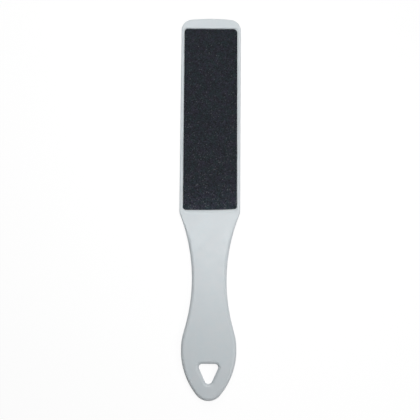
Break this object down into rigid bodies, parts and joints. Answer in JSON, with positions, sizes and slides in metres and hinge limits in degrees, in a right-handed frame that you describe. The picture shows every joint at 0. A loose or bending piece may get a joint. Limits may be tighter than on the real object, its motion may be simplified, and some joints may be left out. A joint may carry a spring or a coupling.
{
  "type": "foot file",
  "caption": "Flat two-sided foot file: moulded paddle head with a dark abrasive sheet bedded in each face, waisted grip and a rounded triangular hang hole.",
  "frame": {"origin": "under the middle of the outline, on the surface that the file lies on", "axes": "+Y along the file to the head's rounded top end, +X to the right seen from the front, +Z out of the coarse front sheet"},
  "size_m": [0.041, 0.26, 0.0051],
  "materials": {
    "handle_plastic": "satin pale grey-white moulded plastic",
    "adhesive_film": "clear amber glue film",
    "backing_paper": "dense dark grey backing paper",
    "coarse_grit": "coarse charcoal grit with fine sparkle",
    "fine_grit": "fine dark grey grit"
  },
  "bodies": {
    "root": {"handle": "handle_plastic", "front_adhesive": "adhesive_film", "front_backing": "backing_paper", "front_grit": "coarse_grit", "rear_adhesive": "adhesive_film", "rear_backing": "backing_paper", "rear_grit": "fine_grit"}
  },
  "joints": []
}
